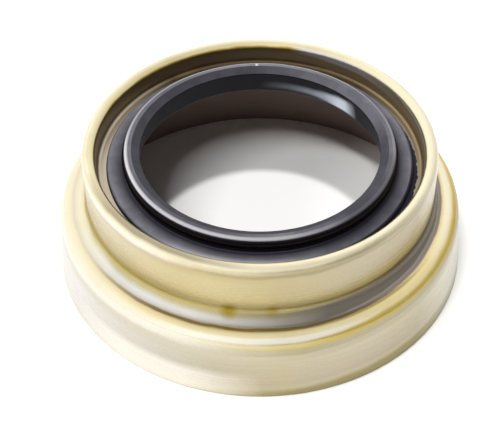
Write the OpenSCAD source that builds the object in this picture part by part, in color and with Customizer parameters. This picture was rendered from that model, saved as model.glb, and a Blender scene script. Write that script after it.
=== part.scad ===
// Radial shaft oil seal: a drawn steel case with a flared skirt, a press-fit collar and a rim
// folded back inside it, a rubber lip moulded round the flange, and a garter spring on the lip.
// Millimetres. The axis is Z, and the open end of the skirt stands on z = 0.
// Every piece is a section in (radius, height) that is turned about the axis.

/* [Case] */
// Thickness of the steel sheet
sheet = 1.0; // [0.6:0.05:1.3]
// Height from the open end of the skirt to the top of the folded rim
height = 26.1; // [24.5:0.1:34]
// How much the skirt widens from the shoulder down to its open end
skirt_flare = 1.3; // [0:0.1:1.8]
// Height of the stop face above the open end
stop_z = 13.9; // [9:0.1:16]
// Width of the flat stop face, between its two bends
stop_w = 0.2; // [0.1:0.1:5]
// Outside radius of the bend at the shoulder
shoulder_bend = 2.5; // [1.6:0.1:2.8]
// Radius of the hollow between the stop face and the collar
root_bend = 2.5; // [0.6:0.1:3]
// Clear gap inside the folded rim
fold_gap = 0.54; // [0.1:0.02:0.8]
// Depth of the flange below the top of the rim
well_depth = 4.4; // [3.9:0.1:5.5]
// Radius of the hollow between the inner wall and the flange
well_bend = 0.8; // [0.4:0.1:1.2]
// Width of bare flange left between the rubber and the inner wall
bare_w = 1.86; // [1.3:0.02:4]

/* [Sealing lip] */
// Radius of the sealing edge before the shaft stretches it
lip_r = 22.7; // [15:0.1:40]
// Height of the narrow band that touches the shaft
lip_band = 0.3; // [0.1:0.05:0.4]
// Radial thickness of the lip's head
head_w = 3.05; // [2.8:0.05:3.3]
// How far the head's top lies below the top of the rim
head_drop = 0.5; // [0.2:0.05:0.7]
// Width of the flat land on the head's top
land_w = 1.5; // [1:0.05:2]
// Height of the oil-side face, from the band up to the land
oil_face = 0.8; // [0.4:0.05:1]
// Radius of the round along the head's outer top edge
head_edge = 0.9; // [0.3:0.05:0.95]
// Lean of the air-side face away from the axis, in degrees
air_lean = 10; // [5:0.5:16]
// Radius of the round at the foot of the air-side face
heel_edge = 0.3; // [0.1:0.05:0.5]
// Width of the rubber between the head and the hole in the flange
neck_w = 1.15; // [0.7:0.05:2]
// Width of the rubber on both sides of the flange
pad_w = 2.2; // [0.8:0.1:3]
// Thickness of the rubber on both sides of the flange
pad_t = 0.8; // [0.5:0.05:1]
// Radius of the round along the rubber's outer edges
pad_edge = 0.6; // [0.1:0.05:0.7]
// Radius of the hollow between the head and the rubber on the flange
neck_bend = 0.45; // [0.2:0.05:0.5]

/* [Garter spring] */
// Outside diameter of the spring's coil
coil_d = 1.3; // [1:0.05:1.4]
// Clearance between the spring and its groove
spring_play = 0.05; // [0.02:0.01:0.08]
// Depth of the spring's centre line inside the head's outer wall
spring_sink = 0.3; // [0.1:0.05:0.4]
// Drop of the spring's plane below the middle of the sealing band
spring_drop = 0.75; // [0.6:0.05:0.85]

/* [Hidden] */
$fn = 180;
// Angle between two points of a bend
bend_step = 7.5;
// Most of a rubber wall's height that a bend may take
wall_share = 0.9;

// Radii from the sealing edge outwards: head, hole in the flange, rubber, inner wall and collar
rim_bend = sheet + fold_gap / 2;
head_r = lip_r + head_w;
flange_r = head_r + neck_w;
pad_r = flange_r + pad_w;
wall_r = pad_r + bare_w;
collar_r = wall_r + 2 * rim_bend;

// Case: both faces of the flange, the lean of the skirt, and the bend centres
flange_z = height - well_depth;
flange_under = flange_z - sheet;
skirt_lean = atan(skirt_flare / stop_z);
root_c = [collar_r + root_bend, stop_z + root_bend];
shoulder_c = [root_c[0] + stop_w, stop_z - shoulder_bend];
skirt_r = shoulder_c[0] + (shoulder_bend + shoulder_c[1] * sin(skirt_lean)) / cos(skirt_lean);
rim_c = [collar_r - rim_bend, height - rim_bend];
well_c = [wall_r - well_bend, flange_z + well_bend];

// Lip: levels of the head, the band and the rubber on the flange
head_z = height - head_drop;
band_top = head_z - oil_face;
band_foot = band_top - lip_band;
pad_top = flange_z + pad_t;
pad_foot = flange_under - pad_t;

// Lip: centre of the round at the foot of the air-side face
heel_z = pad_foot + heel_edge;
heel_r = lip_r + (heel_edge + (band_foot - heel_z) * sin(air_lean)) / cos(air_lean);

// Spring: centre of the coil, the half angle of the groove's mouth, and the mouth's two edges
spring_c = [head_r - spring_sink, (band_top + band_foot) / 2 - spring_drop];
groove_bend = coil_d / 2 + spring_play;
groove_mouth = acos(spring_sink / groove_bend);
groove_top = spring_c[1] + groove_bend * sin(groove_mouth);
groove_foot = spring_c[1] - groove_bend * sin(groove_mouth);

// Rounds on the head and the pad and the hollow between them, kept inside the walls they end
edge_bend = min(head_edge, wall_share * (head_z - groove_top));
hollow_bend = min(neck_bend, wall_share * (groove_foot - pad_top));
pad_bend = min(pad_edge, wall_share * pad_t);

// Points of an arc about a centre, from one angle to another
function arc(centre, radius, from, to) =
    let (steps = ceil(abs(to - from) / bend_step))
    [for (i = [0:steps])
        let (a = from + (to - from) * i / steps)
        centre + radius * [cos(a), sin(a)]];

function backwards(points) = [for (i = [len(points) - 1:-1:0]) points[i]];

// One face of the sheet from the skirt's open end to the flange's hole, a depth below the show face.
// The show face is outside on the skirt and collar, and inside the well after the fold.
function case_face(depth) = concat(
    [[skirt_r - depth / cos(skirt_lean), 0]],
    arc(shoulder_c, shoulder_bend - depth, skirt_lean, 90),
    arc(root_c, root_bend + depth, 270, 180),
    arc(rim_c, rim_bend - depth, 0, 180),
    arc(well_c, well_bend + depth, 0, -90),
    [[flange_r, flange_z - depth]]);

// Head of the lip: up the air-side face, over the sealing band and the land, and down past the groove
function head_outline() = concat(
    arc([heel_r, heel_z], heel_edge, 270, 180 + air_lean),
    [[lip_r, band_foot], [lip_r, band_top], [head_r - land_w, head_z]],
    arc([head_r - edge_bend, head_z - edge_bend], edge_bend, 90, 0),
    arc(spring_c, groove_bend, groove_mouth, 360 - groove_mouth),
    arc([head_r + hollow_bend, pad_top + hollow_bend], hollow_bend, 180, 270));

// Rubber round the flange: out over its upper face, back round its hole, and out below it
function pad_outline() = concat(
    arc([pad_r - pad_bend, pad_top - pad_bend], pad_bend, 90, 0),
    [[pad_r, flange_z], [flange_r, flange_z], [flange_r, flange_under], [pad_r, flange_under]],
    arc([pad_r - pad_bend, pad_foot + pad_bend], pad_bend, 0, -90));

// Case drawn from one sheet: skirt, shoulder, stop face, collar, folded rim, inner wall and flange
module steel_case() {
    color("#d6c796")
        rotate_extrude()
            polygon(concat(case_face(0), backwards(case_face(sheet))));
}

// Rubber lip, moulded and bonded round the flange
module sealing_lip() {
    color("#36353c")
        rotate_extrude()
            polygon(concat(head_outline(), pad_outline()));
}

// Garter spring, as the ring that the coil fills
module garter_spring() {
    color("#7d7a78")
        rotate_extrude()
            translate(spring_c)
                circle(d = coil_d);
}

steel_case();
sealing_lip();
garter_spring();
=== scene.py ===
import bpy
import numpy as np
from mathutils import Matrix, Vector


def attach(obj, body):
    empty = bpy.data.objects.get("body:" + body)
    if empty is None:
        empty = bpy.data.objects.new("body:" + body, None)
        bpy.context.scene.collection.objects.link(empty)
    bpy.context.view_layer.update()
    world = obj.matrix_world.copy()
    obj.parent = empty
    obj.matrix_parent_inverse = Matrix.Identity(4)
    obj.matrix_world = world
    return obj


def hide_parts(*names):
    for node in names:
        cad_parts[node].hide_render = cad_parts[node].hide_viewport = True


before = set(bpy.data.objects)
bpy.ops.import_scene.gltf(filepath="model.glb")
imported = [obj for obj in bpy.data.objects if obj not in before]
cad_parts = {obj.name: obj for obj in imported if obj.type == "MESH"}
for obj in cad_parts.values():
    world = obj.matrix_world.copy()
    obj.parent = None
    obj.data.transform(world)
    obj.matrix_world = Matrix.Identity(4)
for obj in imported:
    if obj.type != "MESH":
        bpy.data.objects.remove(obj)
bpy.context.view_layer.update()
mm = 0.001  # every size below is in millimetres, as in the part's own drawing
samePoint = 1e-5  # two points of a section that are nearer than this are one
scene = bpy.context.scene
print("frame loaded:", ", ".join(sorted(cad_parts)))


# sRGB hex to linear: low channels are divided by 12.92, the others follow the 2.4 power curve
def hexColour(code):
    srgb = np.array([int(code[i:i + 2], 16) for i in (1, 3, 5)]) / 255
    linear = np.where(srgb <= 0.04045, srgb / 12.92, ((srgb + 0.055) / 1.055) ** 2.4)
    return [*map(float, linear), 1.0]


# one shader node: a setting goes to the node's property or to its input socket, and a link joins a socket
# to an input
def addNode(tree, kind, settings={}, links={}):
    node = tree.nodes.new(kind)
    for name, value in settings.items():
        if isinstance(name, str) and hasattr(node, name):
            setattr(node, name, value)
        else:
            node.inputs[name].default_value = value
    for name, socket in links.items():
        tree.links.new(socket, node.inputs[name])
    return node


# a material whose node tree is still empty
def newMaterial(name):
    material = bpy.data.materials.new(name)
    material.use_nodes = True
    material.node_tree.nodes.clear()
    return material


# Closed section in (radius, height) from rounded corners (radius, height, bend). The arc at a corner
# touches both runs: it starts bend * tan(turn / 2) before the corner, its centre lies square to the run,
# and it sweeps the turn. Straight runs are cut to the spacing. The second array is the way the surface
# faces at each point.
def bentSection(corners, spacing, arcPoints):
    corners = np.array(corners, float)
    points, bends = corners[:, :2], corners[:, 2:]
    into = points - np.roll(points, 1, 0)
    into /= np.linalg.norm(into, axis=1, keepdims=True)
    onward = np.roll(into, -1, 0)
    crossed = into[:, 0] * onward[:, 1] - into[:, 1] * onward[:, 0]
    turn = np.arctan2(crossed, (into * onward).sum(1))[:, None]
    side = np.sign(turn) * np.stack([-into[:, 1], into[:, 0]], 1)
    centres = points - into * bends * np.tan(abs(turn) / 2) + side * bends
    angles = np.arctan2(-side[:, 1:], -side[:, :1]) + turn * np.linspace(0, 1, arcPoints)
    ray = np.stack([np.cos(angles), np.sin(angles)], -1)
    outline = (centres[:, None] + bends[:, None] * ray).reshape(-1, 2)
    spin = np.sign(turn.sum())
    facing = (spin * np.sign(turn)[:, None] * ray).reshape(-1, 2)
    keep = np.linalg.norm(np.roll(outline, -1, 0) - outline, axis=1) > samePoint
    outline, facing = outline[keep], facing[keep]
    run = np.roll(outline, -1, 0) - outline
    swing = np.roll(facing, -1, 0) - facing
    cuts = np.ceil(np.linalg.norm(run, axis=1) / spacing).astype(int)
    which = np.repeat(np.arange(len(outline)), cuts)
    share = ((np.arange(len(which)) - np.repeat(np.cumsum(cuts) - cuts, cuts)) / cuts[which])[:, None]
    outline, facing = outline[which] + run[which] * share, facing[which] + swing[which] * share
    facing /= np.linalg.norm(facing, axis=1, keepdims=True)
    return (outline, facing) if spin > 0 else (outline[::-1], facing[::-1])


# Section carried round the axis: x = radius cos(turn), y = radius sin(turn), z = height. A facing is carried
# in the same way.
def carriedRound(section, steps):
    turn = np.linspace(0, 2 * np.pi, steps, endpoint=False)[:, None]
    level = np.ones_like(turn)
    reach, height = section.T
    return np.stack([np.cos(turn) * reach, np.sin(turn) * reach, level * height], -1)


# Skin over a grid that closes in both directions: each cell joins a point to its next neighbours both ways.
# The grid is in millimetres, and facing gives the shading direction of each point.
def closedSkin(name, grid, facing):
    rows, columns = grid.shape[:2]
    index = np.arange(rows * columns).reshape(rows, columns)
    ahead = np.roll(index, -1, 0)
    cells = np.stack([index, ahead, np.roll(ahead, -1, 1), np.roll(index, -1, 1)], -1)
    cells = cells.reshape(-1, 4)
    mesh = bpy.data.meshes.new(name)
    mesh.from_pydata((grid * mm).reshape(-1, 3).tolist(), [], cells.tolist(), shade_flat=False)
    mesh.normals_split_custom_set_from_vertices(facing.reshape(-1, 3).tolist())
    piece = bpy.data.objects.new(name, mesh)
    scene.collection.objects.link(piece)
    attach(piece, "root")
    print("made", name, "with", 2 * len(cells), "triangles")
    return piece


# one number for each point of the grid, for the materials to read
def pointValue(piece, name, values):
    layer = piece.data.attributes.new(name, "FLOAT", "POINT")
    layer.data.foreach_set("value", np.ascontiguousarray(values, np.float32).ravel())


# Case: one sheet drawn to a skirt, shoulder, hollow bend and collar, folded over at the rim and led down
# to the flange. The skirt is two thousandths slimmer than in the drawing, to stay inside the solids' box.
# The primer's share on the well's wall is listed by the distance along the sheet.
case = {
    "sheet": 1.0, "height": 26.1, "skirtRadius": 39.775, "stopHeight": 13.9, "shoulderRadius": 38.477,
    "collarRadius": 33.5, "wallRadius": 30.96, "flangeRadius": 26.9, "flangeHeight": 21.7,
    "shoulderBend": 2.5, "rootBend": 2.5, "rimBend": 1.27, "wellBend": 0.8,
    "skirtInside": 38.773, "shoulderInside": 37.567, "cutEdge": 0.1, "cutPoints": 4,
    "spacing": 1.2, "arcPoints": 11, "steps": 400,
    "wallPrimerShare": ([31.4, 32.2, 33.8, 34.6], [0, 0.55, 0.55, 0.2]),
}
sheet = case["sheet"]
hiddenStop, hiddenFlange = case["stopHeight"] - sheet, case["flangeHeight"] - sheet
hiddenRim, hiddenCollar = case["height"] - sheet, case["collarRadius"] - sheet
hiddenWall = case["wallRadius"] + sheet
caseSection, caseFacing = bentSection([
    (case["skirtRadius"], 0, case["cutEdge"]),
    (case["shoulderRadius"], case["stopHeight"], case["shoulderBend"]),
    (case["collarRadius"], case["stopHeight"], case["rootBend"]),
    (case["collarRadius"], case["height"], case["rimBend"]),
    (case["wallRadius"], case["height"], case["rimBend"]),
    (case["wallRadius"], case["flangeHeight"], case["wellBend"]),
    (case["flangeRadius"], case["flangeHeight"], case["cutEdge"]),
    (case["flangeRadius"], hiddenFlange, case["cutEdge"]),
    (hiddenWall, hiddenFlange, case["wellBend"] + sheet),
    (hiddenWall, hiddenRim, case["rimBend"] - sheet),
    (hiddenCollar, hiddenRim, case["rimBend"] - sheet),
    (hiddenCollar, hiddenStop, case["rootBend"] + sheet),
    (case["shoulderInside"], hiddenStop, case["shoulderBend"] - sheet),
    (case["skirtInside"], 0, case["cutEdge"]),
], case["spacing"], case["arcPoints"])
steelCase = closedSkin("steelCase", carriedRound(caseSection, case["steps"]),
                       carriedRound(caseFacing, case["steps"]))
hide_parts("steel_case")
caseRuns = np.diff(caseSection, axis=0, prepend=caseSection[:1])
alongCase = np.cumsum(np.linalg.norm(caseRuns, axis=1))
pointValue(steelCase, "alongMm", np.tile(alongCase, (case["steps"], 1)))
# past the flange's cut edge the section runs back along the hidden face, which carries the bonding
# primer; the well's wall is also mixed part way to the primer's dull brown
hiddenFace = np.arange(len(caseSection)) > caseSection[:, 0].argmin() + case["cutPoints"]
primedCase = np.where(hiddenFace, 1, np.interp(alongCase, *case["wallPrimerShare"]))
pointValue(steelCase, "primed", np.tile(primedCase, (case["steps"], 1)))

# Lip: rubber head with the sealing edge, spring groove, and a pad bonded to both sides of the flange
lip = {
    "edgeRadius": 22.7, "bandTop": 24.8, "bandFoot": 24.5, "headRadius": 25.75, "headHeight": 25.6,
    "landRadius": 24.25, "heelRadius": 23.511, "padRadius": 29.1, "padTop": 22.5, "padFoot": 19.9,
    "headBend": 0.9, "neckBend": 0.45, "padBend": 0.6, "heelBend": 0.3, "crisp": 0.05, "landEdge": 0.15,
    "grooveRadius": 25.45, "grooveHeight": 23.9, "grooveBend": 0.7, "grooveCorners": 4,
    "mouthAngle": 64.6, "mouthEase": 5, "mouthEdge": 0.03,
    "flash": 0.05, "flashReach": 0.05, "flashEdge": 0.01, "spacing": 0.6, "arcPoints": 7, "steps": 600,
}
# The groove's arc is over half a circle, so it is cut into equal turns, whose corners lie at bend /
# cos(half a turn). Its mouth eases the arc by a few degrees, and the tangent runs out to the head's wall.
firstTurn = np.radians(lip["mouthAngle"] + lip["mouthEase"])
eachTurn = 2 * (np.pi - firstTurn) / lip["grooveCorners"]
cornerTurns = firstTurn + eachTurn * (np.arange(lip["grooveCorners"]) + 0.5)
cornerReach = lip["grooveBend"] / np.cos(eachTurn / 2)
grooveCorners = np.stack([lip["grooveRadius"] + cornerReach * np.cos(cornerTurns),
                          lip["grooveHeight"] + cornerReach * np.sin(cornerTurns),
                          np.full(lip["grooveCorners"], lip["grooveBend"])], 1)
grooveSink = lip["headRadius"] - lip["grooveRadius"]
runOut = grooveSink / np.sin(firstTurn) - lip["grooveBend"] / np.tan(firstTurn)
mouthRise = lip["grooveBend"] * np.sin(firstTurn) - runOut * np.cos(firstTurn)
flashRadius, flashTop = lip["padRadius"] + lip["flashReach"], case["flangeHeight"] + lip["flash"]
lipSection, lipFacing = bentSection([
    (lip["heelRadius"], lip["padFoot"], lip["heelBend"]),
    (lip["edgeRadius"], lip["bandFoot"], lip["crisp"]),
    (lip["edgeRadius"], lip["bandTop"], lip["crisp"]),
    (lip["landRadius"], lip["headHeight"], lip["landEdge"]),
    (lip["headRadius"], lip["headHeight"], lip["headBend"]),
    (lip["headRadius"], lip["grooveHeight"] + mouthRise, lip["mouthEdge"]),
    *grooveCorners.tolist(),
    (lip["headRadius"], lip["grooveHeight"] - mouthRise, lip["mouthEdge"]),
    (lip["headRadius"], lip["padTop"], lip["neckBend"]),
    (lip["padRadius"], lip["padTop"], lip["padBend"]),
    (lip["padRadius"], flashTop, lip["flashEdge"]),
    (flashRadius, flashTop, lip["flashEdge"]),
    (flashRadius, case["flangeHeight"], lip["flashEdge"]),
    (case["flangeRadius"], case["flangeHeight"], lip["crisp"]),
    (case["flangeRadius"], hiddenFlange, lip["crisp"]),
    (lip["padRadius"], hiddenFlange, lip["crisp"]),
    (lip["padRadius"], lip["padFoot"], lip["padBend"]),
], lip["spacing"], lip["arcPoints"])
# Moulding, wear, and painted light and shade. Pairs of lists give an amount at places between which it runs
# evenly: the places are degrees round the axis, or for the names in the last four lines how far a point faces
# up, or its radius.
wear = {
    "flash": ([-60, -35, -5, 15, 40], [0, 0.9, 0.7, 0.3, 0]),
    "flashWaves": [(31, 0.4), (73, 2.1), (127, 4.4)], "flashBreak": 0.09,
    # the next three lines place the painted glint, a pale blue painted highlight, on the air-side face
    "glintTurns": ([35, 40, 43, 48, 55, 63, 75, 90], [0, 0.5, 1, 1, 0.5, 0.3, 0.12, 0]),
    "glintTop": ([38, 62], [24.2, 22.8]), "glintTopFade": 0.9,
    "glintFoot": ([38, 62], [20.0, 20.6]), "glintFootFade": 0.4,
    # the bloom amounts on the next five lines also paint light and shade: they are lower where the rubber
    # reads dark, most at the near right and the far side, and on the oil-side face higher at the right, which
    # faces the light from the left
    "oilBloomAndShade": ([0, 10, 20, 60, 90, 360], [0.3, 0.5, 0.9, 0.75, 0.3, 0.3]),
    "padBloomAndShade": ([0, 30, 60, 120, 150, 270, 290, 310, 335, 360], [1, 1, 0.5, 0.5, 1, 1, 0.7, 0.4, 0.5, 1]),
    "roundBloomAndShade": ([0, 20, 290, 310, 350, 360], [0.4, 1, 1, 0.1, 0.1, 0.4]),
    "landBloomAndShade": ([0, 30, 60, 120, 160, 200, 215, 255, 275, 290, 310, 335, 360],
                  [0.8, 0.85, 0.5, 0.5, 0.8, 0.75, 0.5, 0.5, 0.95, 0.65, 0.3, 0.35, 0.8]),
    # the scuff amounts on the next four lines are painted highlights, except the land's short peak near 91.5
    # degrees, which is a tool mark
    "headHighlight": ([0, 30, 60, 120, 150, 168, 182, 200, 225, 255, 285, 310, 345, 360],
                  [0.35, 0.45, 0.85, 0.75, 0.5, 0.6, 1, 1, 0.8, 0.75, 0.5, 0.1, 0.15, 0.35]),
    "landHighlightAndMark": ([40, 65, 91, 91.3, 91.9, 92.2, 112, 140], [0, 0.15, 0.15, 1, 1, 0.15, 0.15, 0]),
    "padHighlight": ([228, 250, 272, 290], [0, 0.5, 0.5, 0]),
    "flashBloom": 0.35, "heelPaleLine": 0.25, "inward": -0.3, "downward": -0.05, "level": 0.99, "upward": 0.5,
    "heelFacing": -0.6, "heelSpread": 0.35, "litAbove": 22.1, "padBelow": 22.6, "landAbove": 25.5,
    "litFacing": ([0.45, 0.95], [0, 1]),
    "headFacing": ([0.5, 0.72, 0.95, 1], [0, 1, 0.8, 0]),
    "padShadeReach": ([26.2, 28.4], [0.1, 1]),
    "padHighlightReach": ([27.6, 28.6], [0, 1]),
}
lipReach, lipHeight = lipSection.T
faceOut, faceUp = lipFacing.T
# Flash: where the tool leaked, a film of rubber runs out over the bare flange. Its edge follows the
# flash's widths round the axis, broken by three sine waves of unlike pitch that grow with the width.
lipTurn = np.degrees(np.linspace(0, 2 * np.pi, lip["steps"], endpoint=False))[:, None]
flashWidth = np.interp((lipTurn + 180) % 360 - 180, *wear["flash"])
waves = sum(np.sin(np.radians(lipTurn) * pitch + shift) for pitch, shift in wear["flashWaves"])
flashed = lipReach > lip["padRadius"] + lip["flashReach"] / 2
flashedReach = lipReach + flashed * flashWidth * (1 + wear["flashBreak"] * waves)
lipGrid = carriedRound(lipSection, lip["steps"])
lipGrid[..., :2] *= (flashedReach / lipReach)[..., None]
sealingLip = closedSkin("sealingLip", lipGrid, carriedRound(lipFacing, lip["steps"]))
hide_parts("sealing_lip")
# one stretch of the air-side face is smoother and coated, and its colour is mixed to pale blue as a painted
# glint: brightest at the far right, and lower and fainter to the left
inward = faceOut < wear["inward"]
airFace = inward & (faceUp < wear["downward"])
belowTop = np.clip((np.interp(lipTurn, *wear["glintTop"]) - lipHeight) / wear["glintTopFade"], 0, 1)
aboveFoot = np.clip((lipHeight - np.interp(lipTurn, *wear["glintFoot"])) / wear["glintFootFade"], 0, 1)
pointValue(sealingLip, "glossAndGlint", np.interp(lipTurn, *wear["glintTurns"]) * belowTop * aboveFoot * airFace)
# a grey wax bloom lies on the faces that look up, and its amount is painted light and shade as well: the
# up-facing faces read lit, and it is thinner on the pad in towards the neck, on most of the oil-side face and
# at the near right, where the rubber reads dark, and not at all on the walls and in the hollows
onPad = lipHeight < wear["padBelow"]
litBloomShare = np.interp(faceUp, *wear["litFacing"]) * (lipHeight > wear["litAbove"])
litBloomShare *= np.where(onPad, np.interp(lipReach, *wear["padShadeReach"]), 1)
padRound = lipReach > lip["padRadius"] - lip["padBend"]
padBloomAndShade = np.interp(lipTurn, *wear["padBloomAndShade"])
padBloomAndShade = padBloomAndShade * np.where(padRound, np.interp(lipTurn, *wear["roundBloomAndShade"]), 1)
headBloomAndShade = np.where(inward, np.interp(lipTurn, *wear["oilBloomAndShade"]), np.interp(lipTurn, *wear["landBloomAndShade"]))
bloomAndShadeTurns = np.where(onPad, padBloomAndShade, headBloomAndShade)
pointValue(sealingLip, "bloomAndShade", bloomAndShadeTurns * np.maximum(litBloomShare, wear["flashBloom"] * flashed))
# a pale colour paints highlights on the head's outer round, most at the left and least at the near right, on
# the far land and on the pad's edge for a short way at the near side; on the far land it also shows where the
# tool left a short mark, and it draws a fine line along the heel
headRound = lipReach > lip["headRadius"] - lip["headBend"]
headRound &= lipHeight > lip["headHeight"] - lip["headBend"]
headLine = headRound * np.interp(faceUp, *wear["headFacing"])
landFace = (faceUp > wear["level"]) & (lipHeight > wear["landAbove"])
padLine = onPad * (faceUp > wear["upward"]) * np.interp(lipReach, *wear["padHighlightReach"])
heelLine = (abs(faceUp - wear["heelFacing"]) < wear["heelSpread"]) & (faceOut < 0)
heelLine &= lipHeight < lip["padFoot"] + lip["heelBend"]
highlightsAndMarks = np.interp(lipTurn, *wear["headHighlight"]) * headLine + np.interp(lipTurn, *wear["landHighlightAndMark"]) * landFace
highlightsAndMarks += np.interp(lipTurn, *wear["padHighlight"]) * padLine + wear["heelPaleLine"] * heelLine
pointValue(sealingLip, "highlightAndMark", highlightsAndMarks)

# Spring: a wire wound close into a coil, and the coil bent into a ring. The wire's centre goes round the
# coil as the coil goes round the axis; the wire's skin is a circle square to its path.
spring = {"ringRadius": 25.45, "ringHeight": 23.9, "coilOutside": 1.3, "wire": 0.26, "turns": 588,
          "pointsPerTurn": 14, "sides": 6}
coilRadius = (spring["coilOutside"] - spring["wire"]) / 2
travel = np.linspace(0, 2 * np.pi, spring["turns"] * spring["pointsPerTurn"], endpoint=False)
wind = spring["turns"] * travel
outward = np.stack([np.cos(travel), np.sin(travel), np.zeros_like(travel)], 1)
around = np.stack([-np.sin(travel), np.cos(travel), np.zeros_like(travel)], 1)
coilOut = np.cos(wind)[:, None] * outward + np.sin(wind)[:, None] * np.array([0, 0, 1])
coilOn = -np.sin(wind)[:, None] * outward + np.cos(wind)[:, None] * np.array([0, 0, 1])
wirePath = spring["ringRadius"] * outward + coilRadius * coilOut + [0, 0, spring["ringHeight"]]
wireWay = ((spring["ringRadius"] + coilRadius * np.cos(wind))[:, None] * around
           + spring["turns"] * coilRadius * coilOn)
wireWay /= np.linalg.norm(wireWay, axis=1, keepdims=True)
wireSide = np.cross(wireWay, coilOut)
lap = np.linspace(0, 2 * np.pi, spring["sides"], endpoint=False)[:, None, None]
wireFacing = np.cos(lap) * coilOut + np.sin(lap) * wireSide
wireSkin = wirePath + spring["wire"] / 2 * wireFacing
garterSpring = closedSkin("garterSpring", wireSkin, wireFacing)
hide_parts("garter_spring")


# Zinc plate with yellow passivation over drawn steel sheet: a satin mirror whose tint follows the sheet.
# The cream of the shoulder and the rim and the white of the hollow bend are painted highlights. The rim's
# inner turn darkens to dark gold and the well bend and flange to dark brown as painted shade, the well's wall
# is brown, and the primer that bonds the rubber covers the hidden face and is mixed part way into the well's
# wall. The tints are placed by their distance along the sheet from the skirt's end. Bands of colour lie on
# top, most of them painted light: pale ones are painted highlights and reflections, grey and olive ones
# painted shade. Each has its tint, its place along the sheet, its reach to either side, the heading round
# the axis to which it grows, how far that way it starts and is full, and how much it covers there. A bump
# is its strength and its height.
zinc = {
    # the cream at 12.2 to 15.2 and 28.4 to 31.0 and the white at 15.9 to 17.0 are painted highlights; the
    # dark gold at 31.4 to 31.8 and the dark brown from 34.7 on are painted shade
    "tints": [
        (0.0, "#c2b998"), (3.0, "#b0a792"), (7.0, "#b9b19b"), (9.4, "#c2baa4"), (11.2, "#d0cab8"),
        (12.2, "#e4ddc8"), (13.2, "#f0e8d2"), (14.2, "#ecdfb2"), (15.2, "#e2d09c"), (15.9, "#d9d6d0"),
        (17.0, "#dcdcd8"), (18.0, "#c2b78f"), (19.1, "#b6a768"), (19.7, "#d0c490"), (21.0, "#c8ba8a"),
        (23.0, "#c0b286"), (26.0, "#bfb188"), (27.6, "#beb088"), (28.4, "#e6dcb8"), (29.4, "#f4ebcc"),
        (30.4, "#f0e5be"), (31.0, "#f0e2b4"), (31.4, "#a88c34"), (31.8, "#84691e"), (32.4, "#8a7648"),
        (34.0, "#a8956a"), (34.7, "#5a4a2e"), (38.6, "#3c3222"),
    ],
    # most bands are painted light: the pale and white ones are painted highlights and reflections, the grey
    # and olive ones painted shade; the beige pair at 36.6 keeps the flange's own colour at its sides, the
    # brown line at 15.5 and the gold line at 12.2 are bands of tone, and the gold at 19.6 is a stain
    "lightShadeAndStainBands": [
        ("#8a8054", 0.0, 2.0, 0, -16, 6, 0.8), ("#a39a78", 10.9, 1.2, 0, -12, 8, 0.8),
        ("#bfa84e", 12.2, 0.95, 0, -14, 14, 0.9), ("#ecd488", 13.5, 1.2, 0, 8, 24, 0.6),
        ("#8f8078", 15.5, 0.45, 0, -30, -18, 0.9), ("#b09a3c", 19.6, 1.3, 212, 26, 33, 0.6),
        ("#766e64", 17.3, 2.1, 0, -12, 12, 1.0), ("#857a55", 27.9, 1.0, 0, -16, 8, 0.6),
        ("#a3966e", 30.4, 0.8, 180, -6, 22, 0.2), ("#dad8d6", 5.0, 6.4, 180, 8, 34, 0.8),
        ("#e6e3da", 5.0, 6.4, 0, 29, 39, 0.75), ("#e6e3da", 24.0, 4.8, 180, 15, 36, 0.75),
        ("#b9b2a6", 24.2, 4.8, 0, 0, 18, 0.6), ("#f4f1ea", 24.4, 5.0, 0, 28, 33, 0.95),
        ("#efe6c8", 28.5, 1.2, 0, 18, 30, 0.8), ("#eceae2", 11.8, 1.2, 180, 6, 20, 0.5),
        ("#efe9d6", 14.4, 1.2, 180, 20, 34, 0.6), ("#f4f3ee", 28.0, 0.9, 180, 10, 20, 0.55),
        ("#d9d4cb", 31.5, 1.2, 0, 6, 10, 0.95), ("#8a7440", 31.7, 0.9, 0, 21, 27, 0.8),
        ("#d4c8b0", 36.6, 2.4, 180, 18, 26, 0.9), ("#d4c8b0", 36.6, 2.4, 0, 20, 28, 0.9),
        ("#a89c80", 30.2, 1.3, 231, 26, 31.5, 0.9), ("#f0e4b8", 17.0, 1.4, 180, 26, 34, 0.7),
        ("#ece8d8", 13.9, 0.9, 0, 30, 36, 0.7), ("#f6f2e4", 13.4, 0.7, 270, 32, 36, 0.6),
        ("#a89f86", 9.6, 1.2, 308, 31, 37.5, 0.5), ("#d8cba0", 23.5, 4.0, 245, 29, 33, 0.5),
        ("#efeae0", 2.5, 3.5, 240, 34, 39, 0.7),
    ],
    "soft": 0.5, "primer": "#7d6a60", "primerRoughness": 0.5, "climbFrom": 8, "climbTo": 40, "climb": 1.5,
    "blotch": 11, "blotchTint": "#bfae76", "blotchCover": 0.35, "blotchFrom": 0.5, "blotchTo": 0.8,
    "creep": 5, "creepReach": 0.45, "creepFrom": 0.2, "creepTo": 0.8,
    "runs": [((-5.4, -33.0, 15.8), 2.1, 0.95), ((2.3, -33.4, 16.0), 1.7, 0.6)],
    "runTint": "#9a8423", "runCore": 0.3,
    "line": 0.5, "lineStretch": 0.03, "lineFrom": 0.3, "lineTo": 0.7, "streakDark": 0.95, "streakPale": 1.04,
    "smooth": 0.24, "rough": 0.34, "wave": 9, "waveBump": (0.4, 0.06), "lineBump": (0.1, 0.006),
    "grain": 0.6, "grainBump": (0.14, 0.008),
}
zincPlate = newMaterial("zincPlateYellowPassivated")
tree = zincPlate.node_tree
place = addNode(tree, "ShaderNodeTexCoord").outputs["Object"]
along = addNode(tree, "ShaderNodeAttribute", {"attribute_name": "alongMm"}).outputs["Fac"]
primed = addNode(tree, "ShaderNodeAttribute", {"attribute_name": "primed"}).outputs["Fac"]
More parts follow.
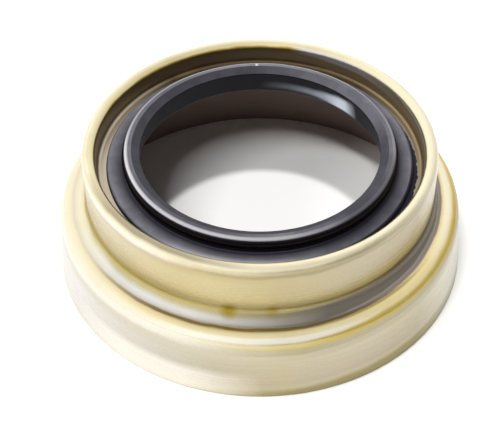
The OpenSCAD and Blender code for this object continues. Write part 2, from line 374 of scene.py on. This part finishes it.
# the places of the tints and bands wander up and down the sheet, and move up it towards the right
side = addNode(tree, "ShaderNodeSeparateXYZ", {}, {0: place}).outputs["X"]
creep = addNode(tree, "ShaderNodeTexNoise", {"Scale": 1 / (zinc["creep"] * mm), "Detail": 4},
                {"Vector": place})
crept = addNode(tree, "ShaderNodeMapRange",
                {"From Min": zinc["creepFrom"], "From Max": zinc["creepTo"],
                 "To Min": -zinc["creepReach"] / 2, "To Max": zinc["creepReach"] / 2},
                {"Value": creep.outputs[0]})
climb = addNode(tree, "ShaderNodeMapRange",
                {"From Min": zinc["climbFrom"] * mm, "From Max": zinc["climbTo"] * mm,
                 "To Max": -zinc["climb"]},
                {"Value": side})
climbed = addNode(tree, "ShaderNodeMath", {"operation": "ADD"}, {0: along, 1: climb.outputs[0]})
bandPlace = addNode(tree, "ShaderNodeMath", {"operation": "ADD"}, {0: climbed.outputs[0], 1: crept.outputs[0]})
sheetEnd = zinc["tints"][-1][0]
share = addNode(tree, "ShaderNodeMath", {"operation": "DIVIDE", 1: sheetEnd}, {0: bandPlace.outputs[0]})
tints = addNode(tree, "ShaderNodeValToRGB", {}, {0: share.outputs[0]})
stops = tints.color_ramp.elements
for spot, code in zinc["tints"][1:-1]:
    stops.new(spot / sheetEnd)
for stop, (spot, code) in zip(stops, zinc["tints"]):
    stop.color = hexColour(code)
blotch = addNode(tree, "ShaderNodeTexNoise", {"Scale": 1 / (zinc["blotch"] * mm), "Detail": 3},
                 {"Vector": place})
blotchShare = addNode(tree, "ShaderNodeMapRange",
                      {"From Min": zinc["blotchFrom"], "From Max": zinc["blotchTo"],
                       "To Max": zinc["blotchCover"]},
                      {"Value": blotch.outputs[0]})
warm = addNode(tree, "ShaderNodeMix", {"data_type": "RGBA", 7: hexColour(zinc["blotchTint"])},
               {0: blotchShare.outputs[0], 6: tints.outputs[0]})
# each band is laid over the last: its share is how near the point is to the band's place along the sheet,
# times how far the point lies towards the band's heading; most bands are painted highlights, reflections and
# shade
bandedTint = warm.outputs[2]
for code, spot, reach, heading, start, full, cover in zinc["lightShadeAndStainBands"]:
    toward = [float(np.cos(np.radians(heading))), float(np.sin(np.radians(heading))), 0]
    across = addNode(tree, "ShaderNodeVectorMath", {"operation": "DOT_PRODUCT", 1: toward}, {0: place})
    offSpot = addNode(tree, "ShaderNodeMath", {"operation": "SUBTRACT", 1: spot}, {0: bandPlace.outputs[0]})
    awayFrom = addNode(tree, "ShaderNodeMath", {"operation": "ABSOLUTE"}, {0: offSpot.outputs[0]})
    band = addNode(tree, "ShaderNodeMapRange", {"From Min": reach, "From Max": reach * (1 - zinc["soft"])},
                   {"Value": awayFrom.outputs[0]})
    onSide = addNode(tree, "ShaderNodeMapRange",
                     {"From Min": start * mm, "From Max": full * mm, "To Max": cover},
                     {"Value": across.outputs["Value"]})
    bandShare = addNode(tree, "ShaderNodeMath", {"operation": "MULTIPLY"},
                        {0: band.outputs[0], 1: onSide.outputs[0]})
    bandedTint = addNode(tree, "ShaderNodeMix", {"data_type": "RGBA", 7: hexColour(code)},
                     {0: bandShare.outputs[0], 6: bandedTint}).outputs[2]
# two gold runs have dried at the collar's foot, with edges as ragged as those of the tints and bands
for spot, reach, cover in zinc["runs"]:
    toRun = addNode(tree, "ShaderNodeVectorMath", {"operation": "DISTANCE", 1: [v * mm for v in spot]},
                    {0: place})
    ragged = addNode(tree, "ShaderNodeMath", {"operation": "MULTIPLY_ADD", 1: mm},
                     {0: crept.outputs[0], 2: toRun.outputs["Value"]})
    runShare = addNode(tree, "ShaderNodeMapRange",
                       {"From Min": reach * mm, "From Max": zinc["runCore"] * reach * mm, "To Max": cover},
                       {"Value": ragged.outputs[0]})
    bandedTint = addNode(tree, "ShaderNodeMix", {"data_type": "RGBA", 7: hexColour(zinc["runTint"])},
                     {0: runShare.outputs[0], 6: bandedTint}).outputs[2]
tint = addNode(tree, "ShaderNodeMix", {"data_type": "RGBA", 7: hexColour(zinc["primer"])},
               {0: primed, 6: bandedTint})
# drawing lines keep their place along the sheet and change slowly round the axis
linePlace = addNode(tree, "ShaderNodeVectorMath", {"operation": "SCALE", "Scale": zinc["lineStretch"]},
                    {0: place})
lineWay = addNode(tree, "ShaderNodeMath", {"operation": "MULTIPLY", 1: 1 / zinc["line"]}, {0: along})
line = addNode(tree, "ShaderNodeTexNoise", {"noise_dimensions": "4D", "Scale": 1.0, "Detail": 2},
               {"Vector": linePlace.outputs[0], "W": lineWay.outputs[0]})
lineRange = {"From Min": zinc["lineFrom"], "From Max": zinc["lineTo"]}
smooth = addNode(tree, "ShaderNodeMapRange", {**lineRange, "To Min": zinc["smooth"], "To Max": zinc["rough"]},
                 {"Value": line.outputs[0]})
streak = addNode(tree, "ShaderNodeMapRange",
                 {**lineRange, "To Min": zinc["streakDark"], "To Max": zinc["streakPale"]},
                 {"Value": line.outputs[0]})
streaked = addNode(tree, "ShaderNodeVectorMath", {"operation": "SCALE"},
                   {0: tint.outputs[2], "Scale": streak.outputs[0]})
roughness = addNode(tree, "ShaderNodeMix", {3: zinc["primerRoughness"]}, {0: primed, 2: smooth.outputs[0]})
# the pressed sheet waves gently, the drawing lines and the plate's fine grain lie on top
wave = addNode(tree, "ShaderNodeTexNoise", {"Scale": 1 / (zinc["wave"] * mm), "Detail": 1}, {"Vector": place})
grain = addNode(tree, "ShaderNodeTexNoise", {"Scale": 1 / (zinc["grain"] * mm), "Detail": 3},
                {"Vector": place})
bumped = {}
for relief, kind in ((wave, "waveBump"), (line, "lineBump"), (grain, "grainBump")):
    strength, distance = zinc[kind]
    bump = addNode(tree, "ShaderNodeBump", {"Strength": strength, "Distance": distance * mm},
                   {"Height": relief.outputs[0], **bumped})
    bumped = {"Normal": bump.outputs[0]}
bare = addNode(tree, "ShaderNodeMapRange", {"To Min": 1.0, "To Max": 0.0}, {"Value": primed})
skin = addNode(tree, "ShaderNodeBsdfPrincipled", {},
               {"Metallic": bare.outputs[0], "Base Color": streaked.outputs[0],
                "Roughness": roughness.outputs[0], **bumped})
addNode(tree, "ShaderNodeOutputMaterial", {}, {"Surface": skin.outputs[0]})
steelCase.data.materials.append(zincPlate)

# Nitrile rubber, compression moulded and filled with carbon black: black satin walls, a matt grey wax
# bloom on the up-facing faces whose amount also paints light and shade, a pale colour that paints highlights
# along the edges, and a smoother, coated stretch of the air-side face whose colour is a painted pale blue
# glint
nitrile = {
    # the pale blue is a painted glint and the pale grey paints highlights on the edges
    "black": "#14131c", "glintPale": "#d0e2fa", "bloom": "#6a6970", "dust": "#7a7981", "highlightAndMarkPale": "#d6d5da",
    "patch": 3.5, "patchFrom": 0.4, "patchTo": 0.65, "pores": 0.35, "poresFrom": 0.3, "poresTo": 0.7,
    "poreBump": (0.2, 0.02), "satinFrom": 0.4, "satinTo": 0.53, "matt": 0.6, "polished": 0.12,
    "ior": 1.5, "specular": 0.2, "coatIor": 3.5, "coatRoughness": 0.1,
}
rubber = newMaterial("nitrileRubberMoulded")
tree = rubber.node_tree
place = addNode(tree, "ShaderNodeTexCoord").outputs["Object"]
glossAndGlint = addNode(tree, "ShaderNodeAttribute", {"attribute_name": "glossAndGlint"}).outputs["Fac"]
bloomAndShade = addNode(tree, "ShaderNodeAttribute", {"attribute_name": "bloomAndShade"}).outputs["Fac"]
highlightAndMark = addNode(tree, "ShaderNodeAttribute", {"attribute_name": "highlightAndMark"}).outputs["Fac"]
patch = addNode(tree, "ShaderNodeTexNoise", {"Scale": 1 / (nitrile["patch"] * mm), "Detail": 4},
                {"Vector": place})
patchShare = addNode(tree, "ShaderNodeMapRange",
                     {"From Min": nitrile["patchFrom"], "From Max": nitrile["patchTo"]},
                     {"Value": patch.outputs[0]})
bloom = addNode(tree, "ShaderNodeMix",
                {"data_type": "RGBA", 6: hexColour(nitrile["bloom"]), 7: hexColour(nitrile["dust"])},
                {0: patchShare.outputs[0]})
# the grey bloom's amount paints light and shade here
shade = addNode(tree, "ShaderNodeMix", {"data_type": "RGBA", 6: hexColour(nitrile["black"])},
                {0: bloomAndShade, 7: bloom.outputs[2]})
# the pale colour here paints highlights on the edges, and the tool mark and the heel line
highlightedMix = addNode(tree, "ShaderNodeMix", {"data_type": "RGBA", 7: hexColour(nitrile["highlightAndMarkPale"])},
               {0: highlightAndMark, 6: shade.outputs[2]})
# the pale blue here is a painted glint on the air-side stretch
glint = addNode(tree, "ShaderNodeMix", {"data_type": "RGBA", 7: hexColour(nitrile["glintPale"])},
                {0: glossAndGlint, 6: highlightedMix.outputs[2]})
pores = addNode(tree, "ShaderNodeTexNoise", {"Scale": 1 / (nitrile["pores"] * mm), "Detail": 2},
                {"Vector": place})
satin = addNode(tree, "ShaderNodeMapRange",
                {"From Min": nitrile["poresFrom"], "From Max": nitrile["poresTo"],
                 "To Min": nitrile["satinFrom"], "To Max": nitrile["satinTo"]}, {"Value": pores.outputs[0]})
dulled = addNode(tree, "ShaderNodeMix", {2: nitrile["matt"]}, {0: bloomAndShade, 3: satin.outputs[0]})
gloss = addNode(tree, "ShaderNodeMix", {3: nitrile["polished"]}, {0: glossAndGlint, 2: dulled.outputs[0]})
strength, distance = nitrile["poreBump"]
poreBump = addNode(tree, "ShaderNodeBump", {"Strength": strength, "Distance": distance * mm},
                   {"Height": pores.outputs[0]})
skin = addNode(tree, "ShaderNodeBsdfPrincipled",
               {"IOR": nitrile["ior"], "Specular IOR Level": nitrile["specular"],
                "Coat IOR": nitrile["coatIor"], "Coat Roughness": nitrile["coatRoughness"]},
               {"Coat Weight": glossAndGlint, "Base Color": glint.outputs[2], "Roughness": gloss.outputs[0],
                "Normal": poreBump.outputs[0]})
addNode(tree, "ShaderNodeOutputMaterial", {}, {"Surface": skin.outputs[0]})
sealingLip.data.materials.append(rubber)

# Spring steel wire, drawn and oiled: dark brown-grey metal whose turns catch thin highlights
wireFinish = {"steel": "#2e2a27", "oil": "#1d1a18", "patch": 2.0, "roughness": 0.3}
oiledWire = newMaterial("springSteelOiled")
tree = oiledWire.node_tree
place = addNode(tree, "ShaderNodeTexCoord").outputs["Object"]
patch = addNode(tree, "ShaderNodeTexNoise", {"Scale": 1 / (wireFinish["patch"] * mm), "Detail": 3},
                {"Vector": place})
shade = addNode(tree, "ShaderNodeMix",
                {"data_type": "RGBA", 6: hexColour(wireFinish["steel"]), 7: hexColour(wireFinish["oil"])},
                {0: patch.outputs[0]})
skin = addNode(tree, "ShaderNodeBsdfPrincipled", {"Metallic": 1.0, "Roughness": wireFinish["roughness"]},
               {"Base Color": shade.outputs[2]})
addNode(tree, "ShaderNodeOutputMaterial", {}, {"Surface": skin.outputs[0]})
garterSpring.data.materials.append(oiledWire)
print("materials done")

# Floor: pale, lit like the rest. Outside the seal it adds a little light of its own, for the camera and
# for what the metal mirrors, so that the background is white and a faint shadow is left.
floorSet = {"size": 4000, "pale": "#f6f5f3", "seen": 0.3, "mirrored": 0.12, "from": 39.8, "to": 44.0}
half = floorSet["size"] * mm / 2
floorCorners = [(-half, -half, 0), (half, -half, 0), (half, half, 0), (-half, half, 0)]
floorMesh = bpy.data.meshes.new("studioFloor")
floorMesh.from_pydata(floorCorners, [], [(0, 1, 2, 3)])
floor = bpy.data.objects.new("studioFloor", floorMesh)
scene.collection.objects.link(floor)
paper = newMaterial("paleStudioPaper")
tree = paper.node_tree
place = addNode(tree, "ShaderNodeTexCoord").outputs["Object"]
rays = addNode(tree, "ShaderNodeLightPath")
mirror = addNode(tree, "ShaderNodeMath", {"operation": "ADD", "use_clamp": True},
                 {0: rays.outputs["Is Glossy Ray"], 1: rays.outputs["Is Transmission Ray"]})
mirrorLight = addNode(tree, "ShaderNodeMath", {"operation": "MULTIPLY", 1: floorSet["mirrored"]},
                      {0: mirror.outputs[0]})
anyLight = addNode(tree, "ShaderNodeMix", {3: floorSet["seen"]},
                   {0: rays.outputs["Is Camera Ray"], 2: mirrorLight.outputs[0]})
fromAxis = addNode(tree, "ShaderNodeVectorMath", {"operation": "LENGTH"}, {0: place})
outside = addNode(tree, "ShaderNodeMapRange",
                  {"From Min": floorSet["from"] * mm, "From Max": floorSet["to"] * mm},
                  {"Value": fromAxis.outputs["Value"]})
ownLight = addNode(tree, "ShaderNodeMath", {"operation": "MULTIPLY"},
                   {0: anyLight.outputs[0], 1: outside.outputs[0]})
glow = addNode(tree, "ShaderNodeEmission", {}, {"Strength": ownLight.outputs[0]})
matt = addNode(tree, "ShaderNodeBsdfDiffuse", {"Color": hexColour(floorSet["pale"])})
both = addNode(tree, "ShaderNodeAddShader", {}, {0: matt.outputs[0], 1: glow.outputs[0]})
addNode(tree, "ShaderNodeOutputMaterial", {}, {"Surface": both.outputs[0]})
floorMesh.materials.append(paper)

# Studio: what the metal mirrors. The walls are bright to the left and the far side, fall off to the right
# and towards the camera, and sink low down on that side; the ceiling is a little dimmer, and the camera
# itself sees plain white. Places are parts of a unit direction.
studio = {
    "pale": "#ffffff", "bright": 1.2, "dim": 0.88, "farShare": 0.4, "wallFrom": -0.2, "wallTo": 0.7,
    "lowLevel": 0.75, "lowLean": 0.45, "lowFrom": -0.45, "lowTo": 0.05,
    "ceiling": 0.8, "ceilingFrom": 0.75, "lamplight": 0.11,
}
world = bpy.data.worlds.new("studio")
scene.world = world
world.use_nodes = True
tree = world.node_tree
tree.nodes.clear()
view = addNode(tree, "ShaderNodeTexCoord").outputs["Generated"]
way = addNode(tree, "ShaderNodeSeparateXYZ", {}, {0: view})
across = addNode(tree, "ShaderNodeMath", {"operation": "MULTIPLY_ADD", 1: -studio["farShare"]},
                 {0: way.outputs["Y"], 2: way.outputs["X"]})
walls = addNode(tree, "ShaderNodeMapRange",
                {"interpolation_type": "SMOOTHSTEP",
                 "From Min": studio["wallFrom"], "From Max": studio["wallTo"],
                 "To Min": studio["bright"], "To Max": studio["dim"]}, {"Value": across.outputs[0]})
lift = addNode(tree, "ShaderNodeMath", {"operation": "MULTIPLY_ADD", 1: -studio["lowLean"]},
               {0: across.outputs[0], 2: way.outputs["Z"]})
low = addNode(tree, "ShaderNodeMapRange",
              {"interpolation_type": "SMOOTHSTEP",
               "From Min": studio["lowFrom"], "From Max": studio["lowTo"], "To Min": studio["lowLevel"]},
              {"Value": lift.outputs[0]})
ceiling = addNode(tree, "ShaderNodeMapRange",
                  {"From Min": studio["ceilingFrom"], "From Max": 1.0,
                   "To Min": 1.0, "To Max": studio["ceiling"]},
                  {"Value": way.outputs["Z"]})
shaded = addNode(tree, "ShaderNodeMath", {"operation": "MULTIPLY"}, {0: walls.outputs[0], 1: low.outputs[0]})
level = addNode(tree, "ShaderNodeMath", {"operation": "MULTIPLY"},
                {0: shaded.outputs[0], 1: ceiling.outputs[0]})
rays = addNode(tree, "ShaderNodeLightPath")
mirrored = addNode(tree, "ShaderNodeMix", {2: studio["lamplight"]},
                   {0: rays.outputs["Is Glossy Ray"], 3: level.outputs[0]})
shown = addNode(tree, "ShaderNodeMix", {3: 1.0}, {0: rays.outputs["Is Camera Ray"], 2: mirrored.outputs[0]})
sky = addNode(tree, "ShaderNodeBackground", {"Color": hexColour(studio["pale"])},
              {"Strength": shown.outputs[0]})
addNode(tree, "ShaderNodeOutputWorld", {}, {"Surface": sky.outputs[0]})

# Lamps: place in millimetres, width and height of the panel, brightness of its face. They are kept out of
# the reflections, which show the walls. The small one overhead throws the bore's bright round patch on
# the floor, the strip above the camera the grey one beside it, and the window on the left the far one.
lamps = {
    "overheadLamp": {"place": (-30, 114, 1500), "panel": (120, 120), "face": 265},
    "frontStrip": {"place": (-500, -578, 1500), "panel": (900, 120), "face": 42},
    "leftWindow": {"place": (-1208, -216, 863), "panel": (500, 250), "face": 14},
}
for name, box in lamps.items():
    light = bpy.data.lights.new(name, "AREA")
    light.shape = "RECTANGLE"
    light.size, light.size_y = box["panel"][0] * mm, box["panel"][1] * mm
    light.energy = box["face"] * np.pi * light.size * light.size_y  # power of a face of that brightness
    lamp = bpy.data.objects.new(name, light)
    lamp.location = Vector(box["place"]) * mm
    lamp.rotation_euler = (-Vector(box["place"])).to_track_quat("-Z", "Y").to_euler()
    lamp.visible_glossy = False
    scene.collection.objects.link(lamp)

# Camera: the photograph's angle, from a fit to the seal's rings; the axis stands 10 of 500 pixels right
# of the middle
camera = {
    "elevation": 44.115, "distance": 247.0, "aimHeight": 4.98, "focal": 89.04, "sensor": 36.0, "shift": -0.02,
}
cameraData = bpy.data.cameras.new("photoCamera")
cameraData.sensor_fit = "HORIZONTAL"
cameraData.sensor_width, cameraData.lens = camera["sensor"], camera["focal"]
cameraData.shift_x = camera["shift"]
photoCamera = bpy.data.objects.new("photoCamera", cameraData)
rise = np.radians(camera["elevation"])
aim = Vector((0, 0, camera["aimHeight"])) * mm
photoCamera.location = aim + Vector((0, -np.cos(rise), np.sin(rise))) * camera["distance"] * mm
photoCamera.rotation_euler = (aim - photoCamera.location).to_track_quat("-Z", "Y").to_euler()
scene.collection.objects.link(photoCamera)
scene.camera = photoCamera
scene.view_settings.view_transform = "Standard"
print("stage, lights and camera done")
